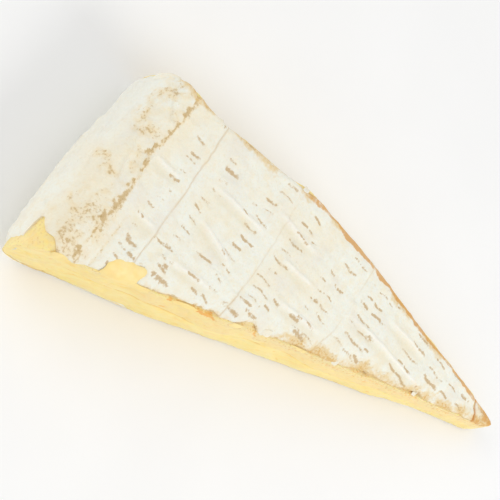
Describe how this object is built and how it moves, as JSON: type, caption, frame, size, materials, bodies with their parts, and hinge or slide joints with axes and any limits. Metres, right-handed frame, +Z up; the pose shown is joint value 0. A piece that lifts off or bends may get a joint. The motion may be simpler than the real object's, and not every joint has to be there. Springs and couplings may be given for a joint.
{
  "type": "brie wedge",
  "caption": "Cut wedge of soft ripened cheese with a white bloomy rind, a rounded heel, pale yellow cut faces and a blunt tip.",
  "frame": {"origin": "middle of the bounding box on the flat base that the wedge lies on", "axes": "+X towards the tip of the wedge, +Y towards the far cut, +Z up out of the rind's top face"},
  "size_m": [0.1802, 0.0646, 0.03],
  "materials": {
    "rind": "soft matt white mould rind with tan mat marks, worn to orange-brown at the rim and the cut edges",
    "paste": "soft pale yellow paste, faintly moist, with knife smears and small pits"
  },
  "bodies": {
    "root": {"brie_wedge": "rind"}
  },
  "joints": []
}
